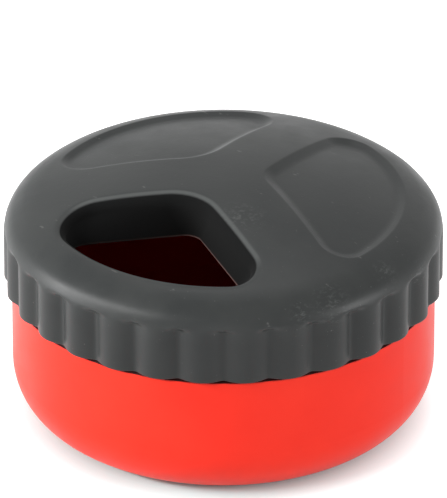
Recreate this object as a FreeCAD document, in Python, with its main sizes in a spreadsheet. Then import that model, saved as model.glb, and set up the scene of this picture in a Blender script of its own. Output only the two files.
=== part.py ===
import FreeCAD, Part
import math
import os
import re

import Sketcher

# A treat puck for dogs: a red cup, a lock ring on its neck, and a fluted rubber cap over both.
# Millimetres. The origin is the middle of the underside and +Z is the axis of the puck.
# The opening of the cap faces -Y.

# Each size, its value and what it measures
SIZES = {
    # The whole puck
    "cap_radius": (52.0, "outside of the cap, over the crests of its flutes"),
    "cap_top": (62.0, "height of the whole puck"),
    # Cup
    "cup_inset": (1.8, "how far the cup's wall stands back under the cap"),
    "cup_wall": (2.8, "thickness of the cup's wall"),
    "cup_floor": (3.2, "thickness of the cup's floor above its recess"),
    "base_round": (13.8, "rounding between the wall and the underside"),
    "inner_slope": (6.5, "slope between the floor and the wall inside"),
    "foot_width": (5.4, "width of the flat foot around the recess in the underside"),
    "recess_depth": (1.0, "depth of that recess"),
    "ledge_bevel": (0.7, "bevel of the ledge's outer edge"),
    "neck_wall": (2.4, "thickness of the neck"),
    "neck_rise": (12.0, "height of the neck above the ledge"),
    "neck_lip_bevel": (0.7, "bevels of the neck's mouth"),
    # Bayonet lugs on the neck and in the ring
    "lug_count": (3, "lugs on the neck, and as many in the ring"),
    "lug_arc": (40.0, "angle that each lug covers, in degrees"),
    "lug_depth": (1.5, "how far a lug stands out"),
    "lug_slope": (0.7, "how much thinner a lug is at its tip than at its root"),
    "neck_lug_rise": (2.6, "height of a lug on the neck"),
    "neck_lug_drop": (1.4, "from the neck's mouth down to its lugs"),
    "ring_lug_rise": (3.2, "height of a lug in the ring"),
    "stop_width": (2.4, "width of the rib that stops a lug of the ring"),
    "stop_gap": (0.4, "from the rib to that lug when the ring is locked"),
    # Lock ring
    "running_gap": (0.3, "gap between pieces that move past each other"),
    "ring_wall": (1.8, "thickness of the ring"),
    "ring_lift": (1.2, "from the ledge up to the ring"),
    "key_count": (6, "keys around the ring"),
    "key_width": (3.2, "width of a key"),
    "key_depth": (1.1, "how far a key stands out of the ring"),
    # Cap
    "cap_height": (27.5, "from the skirt's lower edge to the top"),
    "skirt_wall": (4.3, "thickness of the skirt under a crest"),
    "cap_wall": (4.4, "thickness of the cap's roof"),
    "ceiling_flat": (12.0, "flat middle of the roof's underside, from the axis"),
    "dome_radius": (140.0, "curve of the top"),
    "shoulder_radius": (7.0, "curve where the skirt turns inwards"),
    "crown_radius": (17.0, "softer curve between that one and the dome"),
    "crown_inset": (2.1, "how far in from the skirt the softer curve starts"),
    "skirt_gap": (0.5, "parting gap between the ledge and the skirt"),
    # Flutes of the skirt
    "flute_count": (30, "flutes around the skirt"),
    "flute_depth": (2.0, "from a crest to a valley"),
    "crest_curve": (20.0, "curve across a crest"),
    "crest_edge_round": (2.0, "curve at a crest's edges"),
    "valley_round": (1.2, "curve in the bottom of a valley"),
    "crest_relief": (0.05, "how far the crests are cut back from the skirt"),
    "flute_turn": (2.6, "angle from +X to the first valley, in degrees"),
    # Sectors of the top: one opening and two dimples
    "sector_count": (3, "sectors around the top"),
    "dimple_rim": (10.4, "from the skirt in to a dimple's outer edge"),
    "dimple_web": (8.7, "from the middle of a web to a dimple's side"),
    "dimple_hub_corner": (7.0, "rounding of a dimple's corner at the middle"),
    "dimple_left_corner": (5.0, "rounding of a dimple's left outer corner, seen from the middle"),
    "dimple_right_corner": (5.0, "rounding of its right outer corner"),
    "dimple_depth": (1.3, "depth of a dimple"),
    "opening_rim": (10.7, "from the skirt in to the opening's outer edge"),
    "opening_web": (10.4, "from the middle of a web to the opening's side"),
    "opening_hub_corner": (12.0, "rounding of the opening's corner at the middle"),
    "opening_left_corner": (7.4, "rounding of the opening's outer corner towards -X"),
    "opening_right_corner": (5.2, "rounding of its outer corner towards +X"),
    "lip_round": (3.0, "rounding of the opening's lip"),
    "chute_wall": (3.4, "thickness of the wall around the opening"),
    "chute_drop": (12.0, "from the top of the puck to the lower end of that wall"),
}

# Radii, from the skirt inwards, and heights that follow from these sizes
CUP_RADIUS = "(cap_radius - cup_inset)"
SKIRT_BORE = "(cap_radius - skirt_wall)"
RING_RADIUS = f"({SKIRT_BORE} - running_gap)"
RING_BORE = f"({RING_RADIUS} - ring_wall)"
LUG_RADIUS = f"({RING_BORE} - running_gap)"
NECK_RADIUS = f"({LUG_RADIUS} - lug_depth)"
NECK_BORE = f"({NECK_RADIUS} - neck_wall)"
CROWN_BORE = f"({NECK_RADIUS} + running_gap)"
OPENING_RADIUS = "(cap_radius - opening_rim)"
SKIRT_EDGE = "(cap_top - cap_height)"
LEDGE = f"({SKIRT_EDGE} - skirt_gap)"
NECK_TOP = f"({LEDGE} + neck_rise)"
NECK_LUG_TOP = f"({NECK_TOP} - neck_lug_drop)"
NECK_LUG_BOTTOM = f"({NECK_LUG_TOP} - neck_lug_rise)"
RING_LUG_TOP = f"({NECK_LUG_BOTTOM} - running_gap)"
RING_LUG_BOTTOM = f"({RING_LUG_TOP} - ring_lug_rise)"
RING_BOTTOM = f"({LEDGE} + ring_lift)"
RING_TOP = NECK_TOP
SEAT_HEIGHT = f"({RING_TOP} + running_gap)"
CHUTE_END = "(cap_top - chute_drop)"
CREST_RADIUS = "(cap_radius - crest_relief)"
VALLEY_CENTRE = "(cap_radius - flute_depth + valley_round)"
VALLEY_REACH = "(cap_radius + flute_depth)"
FLUTE_HALF = "(180 / flute_count)"
SECTOR_HALF = "(180 / sector_count)"
# Keys stand under crests of the flutes, where the rubber is thick
KEY_ANGLE = "(90 + flute_turn)"
# Where what is added to the neck or the ring starts, in the middle of its wall
NECK_ROOT = f"({NECK_RADIUS} - neck_wall / 2)"
RING_ROOT = f"({RING_BORE} + ring_wall / 2)"

# Lengths closer than this are the same
CLOSE = 0.01
# Names that Sketcher gives to a sketch's origin and axes, and to the points of a curve
ORIGIN = -1
ORIGIN_POINT = 1
LEVEL, UPRIGHT = ORIGIN, ORIGIN - 1
START, END, CENTRE = range(1, 4)
FULL_TURN = 360
LEFT, RIGHT = -1, 1
UP = FreeCAD.Vector(0, 0, 1)

document = FreeCAD.newDocument("treat_puck")


# The sheet, and the formulas that read it

def fill_sheet():
    """Every size goes into the sheet on a row of its own, under its own name."""
    filled = document.addObject("Spreadsheet::Sheet", "sizes")
    for row, (name, (value, meaning)) in enumerate(SIZES.items(), start=1):
        filled.set(f"A{row}", name)
        filled.set(f"B{row}", str(value))
        filled.set(f"C{row}", meaning)
        filled.setAlias(f"B{row}", name)
    document.recompute()
    return filled


sheet = fill_sheet()


def looked_up(formula):
    """The formula with each size in it read from the sheet."""
    return re.sub(r"[a-z]+(_[a-z]+)+", lambda name: f"sizes.{name.group(0)}", formula)


def value_of(formula):
    """The number that a formula comes to."""
    result = sheet.evalExpression(looked_up(formula))
    return float(getattr(result, "Value", result))


def bind(thing, **formulas):
    """Tie properties of an object to formulas."""
    for name, formula in formulas.items():
        thing.setExpression(name, looked_up(formula))


# Bodies and sketches

def new_body(label):
    body = document.addObject("PartDesign::Body", label)
    body.Label = label
    return body


def origin_part(body, role):
    """One of the body's own origin planes or axes."""
    return next(part for part in body.Origin.OriginFeatures if part.Role == role)


def new_sketch(body, name, plane, lift=None, turn=None):
    """A sketch on one of the body's origin planes, lifted off it and turned where that is asked."""
    sketch = body.newObject("Sketcher::SketchObject", name)
    sketch.AttachmentSupport = [(origin_part(body, plane), "")]
    sketch.MapMode = "FlatFace"
    if lift:
        sketch.setExpression(".AttachmentOffset.Base.z", looked_up(lift))
    if turn:
        sketch.setExpression(".AttachmentOffset.Rotation.Angle", looked_up(turn))
    document.recompute()
    return sketch


def hold(sketch, kind, *where, formula):
    """A dimension of a sketch that follows a formula."""
    value = value_of(formula)
    if kind == "Angle":
        value = math.radians(value)
    index = sketch.addConstraint(Sketcher.Constraint(kind, *where, value))
    sketch.setExpression(f"Constraints[{index}]", looked_up(formula))


def join(sketch, *where):
    sketch.addConstraint(Sketcher.Constraint("Coincident", *where))


def arc_between(start, end, radius):
    """The arc of a signed radius from start to end, turning left where the radius is positive."""
    chord = end - start
    left = FreeCAD.Vector(-chord.y, chord.x, 0).normalize()
    reach = math.sqrt(radius**2 - (chord.Length / 2) ** 2)
    centre = (start + end) * 0.5 + left * math.copysign(reach, radius)
    first, last = (start, end) if radius > 0 else (end, start)
    angles = [math.atan2(point.y - centre.y, point.x - centre.x) for point in (first, last)]
    return Part.ArcOfCircle(Part.Circle(centre, UP, abs(radius)), *angles)


def draw_outline(sketch, corners):
    """A closed outline through corners (x, y); a third item is the signed radius of the arc from one."""
    places = [FreeCAD.Vector(value_of(corner[0]), value_of(corner[1]), 0) for corner in corners]
    for index, corner in enumerate(corners):
        start, end = places[index], places[(index + 1) % len(places)]
        if len(corner) > 2:
            sketch.addGeometry(arc_between(start, end, value_of(corner[2])))
        else:
            sketch.addGeometry(Part.LineSegment(start, end))
    # An arc that turns right is kept from its end to its start
    reversed_edges = [len(corner) > 2 and value_of(corner[2]) < 0 for corner in corners]
    starts = [END if swapped else START for swapped in reversed_edges]
    ends = [START if swapped else END for swapped in reversed_edges]
    for index, corner in enumerate(corners):
        following = (index + 1) % len(corners)
        join(sketch, index, ends[index], following, starts[following])
        hold(sketch, "DistanceX", ORIGIN, ORIGIN_POINT, index, starts[index], formula=corner[0])
        hold(sketch, "DistanceY", ORIGIN, ORIGIN_POINT, index, starts[index], formula=corner[1])
        if len(corner) > 2:
            hold(sketch, "Radius", index, formula=corner[2].lstrip("-"))
    document.recompute()


# Features

def spin(body, name, sketch, angle=None, cut=False):
    """Turn a sketch about the axis: all the way, or through an angle with the sketch in the middle."""
    feature = body.newObject("PartDesign::Groove" if cut else "PartDesign::Revolution", name)
    feature.Profile = sketch
    feature.ReferenceAxis = (sketch, ["V_Axis"])
    feature.Angle = FULL_TURN
    if angle:
        feature.Midplane = True
        bind(feature, Angle=angle)
    document.recompute()
    return feature


def raise_up(body, name, sketch, length):
    """Pad a sketch upwards."""
    feature = body.newObject("PartDesign::Pad", name)
    feature.Profile = sketch
    bind(feature, Length=length)
    document.recompute()
    return feature


def sink(body, name, sketch, upwards=False):
    """Cut through all that is above or below a sketch."""
    feature = body.newObject("PartDesign::Pocket", name)
    feature.Profile = sketch
    feature.Type = "ThroughAll"
    feature.Reversed = upwards
    document.recompute()
    return feature


def repeat(body, name, feature, sketch, count):
    """Copies of a feature, evenly around the axis."""
    pattern = body.newObject("PartDesign::PolarPattern", name)
    pattern.Originals = [feature]
    pattern.Axis = (sketch, ["N_Axis"])
    pattern.Angle = FULL_TURN
    bind(pattern, Occurrences=count)
    body.Tip = pattern
    document.recompute()
    return pattern


def edges_where(shape, wanted):
    """Names of the edges for which wanted(edge) is true."""
    return [f"Edge{index}" for index, edge in enumerate(shape.Edges, start=1) if wanted(edge)]


def round_edges(body, name, radius, wanted):
    """Fillet the edges of the body's last feature that are wanted."""
    base = body.Tip
    feature = body.newObject("PartDesign::Fillet", name)
    feature.Base = (base, edges_where(base.Shape, wanted))
    bind(feature, Radius=radius)
    document.recompute()
    return feature


def cut_with(body, name, tool):
    """Cut another body's shape out of this one."""
    feature = body.newObject("PartDesign::Boolean", name)
    feature.Type = "Cut"
    feature.setObjects([tool])
    document.recompute()
    return feature


def middle_of(edge):
    return edge.valueAt((edge.FirstParameter + edge.LastParameter) / 2)


def reach_of(edge):
    """How far the middle of an edge is from the axis."""
    middle = middle_of(edge)
    return math.hypot(middle.x, middle.y)


def is_upright(edge):
    box = edge.BoundBox
    return box.XLength < CLOSE and box.YLength < CLOSE and box.ZLength > CLOSE


def is_lip_of_opening(edge):
    """Whether the edge runs round the opening on the dome, where the dome's circle is about the axis."""
    dome_centre = FreeCAD.Vector(0, 0, value_of("cap_top - dome_radius"))
    middle = middle_of(edge)
    on_dome = abs(middle.distanceToPoint(dome_centre) - value_of("dome_radius")) < CLOSE
    turn = math.degrees(math.atan2(middle.x, -middle.y))
    in_opening = abs(turn) < value_of(SECTOR_HALF)
    return on_dome and in_opening and reach_of(edge) < value_of(OPENING_RADIUS) + CLOSE


# Cup

def make_cup():
    """A cup like a wide jar: thin wall, rounded base, and a narrower neck with lugs and stops."""
    body = new_body("treat_cup")
    cavity = f"{CUP_RADIUS} - cup_wall"
    floor_top = "recess_depth + cup_floor"
    ledge_underside = f"{LEDGE} - cup_wall"
    recess_radius = f"{CUP_RADIUS} - base_round - foot_width - recess_depth"
    section = new_sketch(body, "cup_section", "XZ_Plane")
    draw_outline(section, [
        ("0", "recess_depth"),
        (recess_radius, "recess_depth"),
        (f"{recess_radius} + recess_depth", "0"),
        (f"{CUP_RADIUS} - base_round", "0", "base_round"),
        (CUP_RADIUS, "base_round"),
        (CUP_RADIUS, f"{LEDGE} - ledge_bevel"),
        (f"{CUP_RADIUS} - ledge_bevel", LEDGE),
        (NECK_RADIUS, LEDGE),
        (NECK_RADIUS, f"{NECK_TOP} - neck_lip_bevel"),
        (f"{NECK_RADIUS} - neck_lip_bevel", NECK_TOP),
        (f"{NECK_BORE} + neck_lip_bevel", NECK_TOP),
        (NECK_BORE, f"{NECK_TOP} - neck_lip_bevel"),
        (NECK_BORE, ledge_underside),
        (cavity, ledge_underside),
        (cavity, f"{floor_top} + inner_slope"),
        (f"{cavity} - inner_slope", floor_top),
        ("0", floor_top),
    ])
    spin(body, "cup_shell", section)

    lug_section = new_sketch(body, "neck_lug_section", "XZ_Plane")
    draw_outline(lug_section, [
        (NECK_ROOT, NECK_LUG_BOTTOM),
        (LUG_RADIUS, NECK_LUG_BOTTOM),
        (LUG_RADIUS, f"{NECK_LUG_TOP} - lug_slope"),
        (NECK_RADIUS, NECK_LUG_TOP),
        (NECK_ROOT, NECK_LUG_TOP),
    ])
    lug = spin(body, "neck_lug", lug_section, angle="lug_arc")
    plan = new_sketch(body, "lug_axis", "XY_Plane")
    repeat(body, "neck_lugs", lug, plan, "lug_count")

    stop_angle = f"-(lug_arc / 2 + (stop_gap + stop_width / 2) / {NECK_RADIUS} * 180 / pi)"
    stop_plan = new_sketch(body, "stop_plan", "XY_Plane", lift=RING_LUG_BOTTOM, turn=stop_angle)
    draw_outline(stop_plan, [
        (NECK_ROOT, "-stop_width / 2"),
        (LUG_RADIUS, "-stop_width / 2"),
        (LUG_RADIUS, "stop_width / 2"),
        (NECK_ROOT, "stop_width / 2"),
    ])
    stop = raise_up(body, "lug_stop", stop_plan, f"{NECK_LUG_BOTTOM} - ({RING_LUG_BOTTOM})")
    repeat(body, "lug_stops", stop, plan, "lug_count")
    return body


# Lock ring

def make_ring():
    """The hard ring in the skirt: lugs inside hook under the neck's, and keys outside turn with the cap."""
    body = new_body("lock_ring")
    section = new_sketch(body, "ring_section", "XZ_Plane")
    draw_outline(section, [
        (RING_BORE, RING_BOTTOM),
        (RING_RADIUS, RING_BOTTOM),
        (RING_RADIUS, RING_TOP),
        (RING_BORE, RING_TOP),
    ])
    spin(body, "ring_band", section)

    lug_section = new_sketch(body, "ring_lug_section", "XZ_Plane")
    draw_outline(lug_section, [
        (CROWN_BORE, f"{RING_LUG_BOTTOM} + lug_slope"),
        (RING_BORE, RING_LUG_BOTTOM),
        (RING_ROOT, RING_LUG_BOTTOM),
        (RING_ROOT, RING_LUG_TOP),
        (CROWN_BORE, RING_LUG_TOP),
    ])
    lug = spin(body, "ring_lug", lug_section, angle="lug_arc")
    axis = new_sketch(body, "ring_axis", "XY_Plane")
    repeat(body, "ring_lugs", lug, axis, "lug_count")

    key_plan = new_sketch(body, "key_plan", "XY_Plane", lift=RING_BOTTOM, turn=KEY_ANGLE)
    draw_outline(key_plan, [
        (RING_ROOT, "-key_width / 2"),
        (f"{RING_RADIUS} + key_depth", "-key_width / 2"),
        (f"{RING_RADIUS} + key_depth", "key_width / 2"),
        (RING_ROOT, "key_width / 2"),
    ])
    key = raise_up(body, "key", key_plan, f"{RING_TOP} - ({RING_BOTTOM})")
    repeat(body, "keys", key, axis, "key_count")
    return body


# Cap

def draw_cap_outline(sketch):
    """Half of the solid cap: skirt, shoulder, crown and dome run into each other with no edge."""
    edge, radius, top = value_of(SKIRT_EDGE), value_of("cap_radius"), value_of("cap_top")
    dome, crown, shoulder = value_of("dome_radius"), value_of("crown_radius"), value_of("shoulder_radius")
    # Angle above level at which the shoulder's curve gives way to the crown's
    change = math.acos(1 - value_of("crown_inset") / shoulder)
    crown_x = radius - shoulder + (shoulder - crown) * math.cos(change)
    crown_z = top - dome + math.sqrt((dome - crown) ** 2 - crown_x**2)
    shoulder_z = crown_z - (shoulder - crown) * math.sin(change)
    steep = math.atan2(crown_z - top + dome, crown_x)

    def arc(x, z, reach, low, high):
        return Part.ArcOfCircle(Part.Circle(FreeCAD.Vector(x, z, 0), UP, reach), low, high)

    middle_foot = FreeCAD.Vector(0, edge, 0)
    foot = FreeCAD.Vector(radius, edge, 0)
    floor = sketch.addGeometry(Part.LineSegment(middle_foot, foot))
    side = sketch.addGeometry(Part.LineSegment(foot, FreeCAD.Vector(radius, shoulder_z, 0)))
    turn = sketch.addGeometry(arc(radius - shoulder, shoulder_z, shoulder, 0, change))
    blend = sketch.addGeometry(arc(crown_x, crown_z, crown, change, steep))
    roof = sketch.addGeometry(arc(0, top - dome, dome, steep, math.pi / 2))
    middle = sketch.addGeometry(Part.LineSegment(FreeCAD.Vector(0, top, 0), middle_foot))

    join(sketch, floor, END, side, START)
    join(sketch, roof, END, middle, START)
    join(sketch, middle, END, floor, START)
    sketch.addConstraint(Sketcher.Constraint("Tangent", side, END, turn, START))
    sketch.addConstraint(Sketcher.Constraint("Tangent", turn, END, blend, START))
    sketch.addConstraint(Sketcher.Constraint("Tangent", blend, END, roof, START))
    sketch.addConstraint(Sketcher.Constraint("Horizontal", floor))
    sketch.addConstraint(Sketcher.Constraint("Vertical", side))
    sketch.addConstraint(Sketcher.Constraint("PointOnObject", floor, START, UPRIGHT))
    sketch.addConstraint(Sketcher.Constraint("PointOnObject", roof, END, UPRIGHT))
    sketch.addConstraint(Sketcher.Constraint("PointOnObject", roof, CENTRE, UPRIGHT))
    hold(sketch, "DistanceY", ORIGIN, ORIGIN_POINT, floor, START, formula=SKIRT_EDGE)
    hold(sketch, "DistanceX", ORIGIN, ORIGIN_POINT, side, START, formula="cap_radius")
    hold(sketch, "DistanceY", ORIGIN, ORIGIN_POINT, roof, END, formula="cap_top")
    hold(sketch, "DistanceX", ORIGIN, ORIGIN_POINT, turn, END, formula="cap_radius - crown_inset")
    hold(sketch, "Radius", turn, formula="shoulder_radius")
    hold(sketch, "Radius", blend, formula="crown_radius")
    hold(sketch, "Radius", roof, formula="dome_radius")
    document.recompute()


def draw_valley(sketch):
    """What one valley takes away, around +X: half a crest, its edge, the valley, an edge and half a crest.
    The five curves run into each other, and into those of the next valley."""
    half = math.radians(value_of(FLUTE_HALF))
    crest_curve, edge_round, valley_round = (
        value_of(name) for name in ("crest_curve", "crest_edge_round", "valley_round"))
    top = value_of(CREST_RADIUS)
    outside = value_of(VALLEY_REACH)
    valley = FreeCAD.Vector(value_of(VALLEY_CENTRE), 0, 0)

    def at(angle, distance):
        return FreeCAD.Vector(distance * math.cos(angle), distance * math.sin(angle), 0)

    def bearing(start, end):
        return math.atan2(end.y - start.y, end.x - start.x)

    def arc(centre, radius, first, last):
        circle = Part.Circle(centre, UP, radius)
        return sketch.addGeometry(Part.ArcOfCircle(circle, bearing(centre, first), bearing(centre, last)))

    # The edge's curve touches the crest's from inside and the valley's from outside
    crest = at(half, top - crest_curve)
    across = valley - crest
    near = crest_curve - edge_round
    along = (near**2 - (edge_round + valley_round) ** 2 + across.Length**2) / (2 * across.Length)
    aside = FreeCAD.Vector(-across.y, across.x, 0).normalize() * math.sqrt(near**2 - along**2)
    edge = crest + across.normalize() * along + aside
    crest_end = crest + (edge - crest) * (crest_curve / near)
    edge_end = valley + (edge - valley) * (valley_round / (valley_round + edge_round))

    def mirrored(point):
        return FreeCAD.Vector(point.x, -point.y, 0)

    upper_crest = arc(crest, crest_curve, crest_end, at(half, top))
    upper_edge = arc(edge, edge_round, edge_end, crest_end)
    pit = arc(valley, valley_round, edge_end, mirrored(edge_end))
    lower_edge = arc(mirrored(edge), edge_round, mirrored(crest_end), mirrored(edge_end))
    lower_crest = arc(mirrored(crest), crest_curve, at(-half, top), mirrored(crest_end))
    lower_line = sketch.addGeometry(Part.LineSegment(at(-half, top), at(-half, outside)))
    outer_line = sketch.addGeometry(Part.LineSegment(at(-half, outside), at(half, outside)))
    upper_line = sketch.addGeometry(Part.LineSegment(at(half, outside), at(half, top)))

    smooth = [
        (upper_crest, START, upper_edge, END),
        (upper_edge, START, pit, START),
        (pit, END, lower_edge, END),
        (lower_edge, START, lower_crest, END),
    ]
    for ends in smooth:
        sketch.addConstraint(Sketcher.Constraint("Tangent", *ends))
    join(sketch, lower_crest, START, lower_line, START)
    join(sketch, lower_line, END, outer_line, START)
    join(sketch, outer_line, END, upper_line, START)
    join(sketch, upper_line, END, upper_crest, END)
    # The lines point at the axis, and the crests' curves are centred on them
    for line, curve, sign in ((upper_line, upper_crest, "-"), (lower_line, lower_crest, "")):
        sketch.addConstraint(Sketcher.Constraint("PointOnObject", ORIGIN, ORIGIN_POINT, line))
        sketch.addConstraint(Sketcher.Constraint("PointOnObject", curve, CENTRE, line))
        hold(sketch, "Radius", curve, formula="crest_curve")
    hold(sketch, "Distance", ORIGIN, ORIGIN_POINT, upper_crest, END, formula=CREST_RADIUS)
    hold(sketch, "Distance", ORIGIN, ORIGIN_POINT, lower_crest, START, formula=CREST_RADIUS)
    hold(sketch, "Angle", lower_line, START, upper_line, END, formula=f"2 * {FLUTE_HALF}")
    sketch.addConstraint(Sketcher.Constraint("Vertical", outer_line))
    sketch.addConstraint(Sketcher.Constraint("Vertical", lower_crest, START, upper_crest, END))
    hold(sketch, "Distance", ORIGIN, ORIGIN_POINT, outer_line, START, formula=VALLEY_REACH)
    for curve in (upper_edge, lower_edge):
        hold(sketch, "Radius", curve, formula="crest_edge_round")
    hold(sketch, "Radius", pit, formula="valley_round")
    sketch.addConstraint(Sketcher.Constraint("PointOnObject", pit, CENTRE, LEVEL))
    hold(sketch, "DistanceX", ORIGIN, ORIGIN_POINT, pit, CENTRE, formula=VALLEY_CENTRE)
    document.recompute()


def draw_sector(sketch, outer, web):
    """A sector of the top with its corners still sharp, towards -Y: two sides along the webs and an arc."""
    hub = f"({web}) / sin({SECTOR_HALF})"
    half = math.radians(value_of(SECTOR_HALF))
    radius, start = value_of(outer), value_of(hub)
    # The side runs from the hub at half an angle to the arc
    side = -start * math.cos(half) + math.sqrt(radius**2 - (start * math.sin(half)) ** 2)
    across, along = side * math.sin(half), start + side * math.cos(half)
    rim = [FreeCAD.Vector(turn * across, -along, 0) for turn in (LEFT, RIGHT)]
    apex = FreeCAD.Vector(0, -start, 0)
    left = sketch.addGeometry(Part.LineSegment(apex, rim[0]))
    right = sketch.addGeometry(Part.LineSegment(apex, rim[1]))
    circle = Part.Circle(FreeCAD.Vector(), UP, radius)
    edge = sketch.addGeometry(Part.ArcOfCircle(circle, *[math.atan2(point.y, point.x) for point in rim]))
    join(sketch, left, START, right, START)
    join(sketch, left, END, edge, START)
    join(sketch, right, END, edge, END)
    join(sketch, edge, CENTRE, ORIGIN, ORIGIN_POINT)
    sketch.addConstraint(Sketcher.Constraint("PointOnObject", left, START, UPRIGHT))
    sketch.addConstraint(Sketcher.Constraint("Horizontal", left, END, right, END))
    hold(sketch, "Radius", edge, formula=outer)
    hold(sketch, "DistanceY", left, START, ORIGIN, ORIGIN_POINT, formula=hub)
    hold(sketch, "Angle", left, START, right, START, formula=f"2 * {SECTOR_HALF}")
    document.recompute()


def make_sector_block(name, kind, bottom, grow="0"):
    """An upright block with a sector's outline and rounded corners, from a height up past the top."""
    body = new_body(name)
    plan = new_sketch(body, f"{name}_plan", "XY_Plane", lift=bottom)
    outer = f"cap_radius - {kind}_rim + {grow}"
    draw_sector(plan, outer, f"{kind}_web - {grow}")
    raise_up(body, f"{name}_block", plan, "cap_top")
    halfway = value_of(outer) / 2

    def outer_corner(side):
        return lambda edge: is_upright(edge) and reach_of(edge) > halfway and middle_of(edge).x * side > 0

    round_edges(body, f"{name}_hub", f"{kind}_hub_corner + {grow}",
                lambda edge: is_upright(edge) and reach_of(edge) < halfway)
    round_edges(body, f"{name}_left", f"{kind}_left_corner + {grow}", outer_corner(LEFT))
    round_edges(body, f"{name}_right", f"{kind}_right_corner + {grow}", outer_corner(RIGHT))
    return body


def make_core():
    """The space inside the cap: the skirt's bore, the room over the neck, and the groove around the chute."""
    chute = make_sector_block("chute_outside", "opening", CHUTE_END, "chute_wall")
    body = new_body("cap_core")
    rim = f"cap_top - dome_radius + sqrt((dome_radius - cap_wall) ^ 2 - ({CROWN_BORE}) ^ 2)"
    section = new_sketch(body, "core_section", "XZ_Plane")
    draw_outline(section, [
        ("0", f"{SKIRT_EDGE} - cap_wall"),
        (SKIRT_BORE, f"{SKIRT_EDGE} - cap_wall"),
        (SKIRT_BORE, SEAT_HEIGHT),
        (CROWN_BORE, SEAT_HEIGHT),
        (CROWN_BORE, rim),
        ("ceiling_flat", "cap_top - cap_wall"),
        ("0", "cap_top - cap_wall"),
    ])
    spin(body, "core_solid", section)
    cut_with(body, "chute_groove", chute)
    return body


def make_dimple(index):
    """What one dimple takes away from the dome: a sector's outline over a bed that follows the dome."""
    name = f"dimple_{index}"
    body = make_sector_block(name, "dimple", CHUTE_END)
    below = new_sketch(body, f"{name}_below", "XZ_Plane")
    bed = "(dome_radius - dimple_depth)"
    draw_outline(below, [
        ("0", "0"),
        ("cap_radius", "0"),
        ("cap_radius", f"cap_top - dome_radius + sqrt({bed} ^ 2 - cap_radius ^ 2)", bed),
        ("0", "cap_top - dimple_depth"),
    ])
    spin(body, f"{name}_bed", below, cut=True)
    body.setExpression("Placement.Rotation.Angle", looked_up(f"{index} * 360 / sector_count"))
    document.recompute()
    return body


def make_cap():
    """The rubber cap: one moulded shell with its fluted skirt, its opening with a chute, and two dimples."""
    core = make_core()
    opening = make_sector_block("opening_space", "opening", SKIRT_EDGE)
    dimples = [make_dimple(index) for index in range(1, round(value_of("sector_count")))]
    body = new_body("rubber_cap")
    outline = new_sketch(body, "cap_outline", "XZ_Plane")
    draw_cap_outline(outline)
    spin(body, "cap_solid", outline)

    valley_plan = new_sketch(body, "valley_plan", "XY_Plane", turn="flute_turn")
    draw_valley(valley_plan)
    valley = sink(body, "valley", valley_plan, upwards=True)
    repeat(body, "valleys", valley, valley_plan, "flute_count")

    cut_with(body, "hollow", core)
    for index, dimple in enumerate(dimples, start=1):
        cut_with(body, f"dimple_cut_{index}", dimple)
    cut_with(body, "opening", opening)
    round_edges(body, "opening_lip", "lip_round", is_lip_of_opening)

    slot_plan = new_sketch(body, "key_slot_plan", "XY_Plane", lift=SEAT_HEIGHT, turn=KEY_ANGLE)
    draw_outline(slot_plan, [
        (NECK_BORE, "-key_width / 2 - running_gap"),
        (f"{RING_RADIUS} + key_depth + running_gap", "-key_width / 2 - running_gap"),
        (f"{RING_RADIUS} + key_depth + running_gap", "key_width / 2 + running_gap"),
        (NECK_BORE, "key_width / 2 + running_gap"),
    ])
    slot = sink(body, "key_slot", slot_plan)
    repeat(body, "key_slots", slot, valley_plan, "key_count")
    return body


def check(parts):
    """Stop if any object of the document has failed or any part isn't one valid solid."""
    failed = [thing.Name for thing in document.Objects if {"Invalid", "Error"} & set(thing.State)]
    if failed:
        raise RuntimeError(f"These objects failed: {failed}")
    for part in parts:
        shape = part.Shape
        if shape.isNull() or not shape.isValid() or len(shape.Solids) != 1:
            raise RuntimeError(f"{part.Label} isn't one valid solid")


def write(parts):
    os.makedirs("parts", exist_ok=True)
    for part in parts:
        part.Shape.exportStep(f"parts/{part.Label}.step")
        print(part.Label, round(part.Shape.Volume), "mm3")


pieces = [make_cup(), make_ring(), make_cap()]
document.recompute()
check(pieces)
write(pieces)
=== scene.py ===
from collections import namedtuple
import math

import bpy
import numpy as np
from mathutils import Matrix, Vector, geometry


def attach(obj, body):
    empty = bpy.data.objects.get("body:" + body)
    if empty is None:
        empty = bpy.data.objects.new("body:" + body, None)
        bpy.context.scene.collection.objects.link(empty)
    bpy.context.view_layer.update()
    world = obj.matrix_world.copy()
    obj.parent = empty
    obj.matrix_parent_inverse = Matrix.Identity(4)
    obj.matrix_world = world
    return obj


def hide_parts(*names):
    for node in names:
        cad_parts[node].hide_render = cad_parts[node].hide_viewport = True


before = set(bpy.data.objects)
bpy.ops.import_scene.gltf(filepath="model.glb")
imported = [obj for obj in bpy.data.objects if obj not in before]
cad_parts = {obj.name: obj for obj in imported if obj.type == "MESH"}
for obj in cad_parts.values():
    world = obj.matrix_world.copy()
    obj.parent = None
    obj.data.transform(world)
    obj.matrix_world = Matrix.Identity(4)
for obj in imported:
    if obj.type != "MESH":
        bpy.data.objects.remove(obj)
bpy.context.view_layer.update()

# A treat puck: a red cup, a lock ring on its neck, and a fluted rubber cap over both.
# The frame is in metres, and so are the camera, the lamps and the floor's own size and place.
# The shapes of the puck, and the distances over which a colour changes, are in millimetres
MM = 0.001
QUARTER_TURN = math.pi / 2

# The photograph: its size in pixels and the angle it was taken from
PHOTO_WIDTH, PHOTO_HEIGHT = 447, 498
CAMERA_AZIMUTH = math.radians(32.6)
CAMERA_ELEVATION = math.radians(29.4)
CAMERA_DISTANCE = 2.0
# The point that the camera and the lamps are aimed at, and the pixel where the photograph has it
TARGET = Vector((0, 0, 0.025))
TARGET_PIXEL = (223.4, 308.7)
# The focal length in pixels for each metre of distance, and the sensor's width in millimetres
FOCAL_PIXELS_PER_METRE = 4208.0
SENSOR = 36.0

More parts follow.
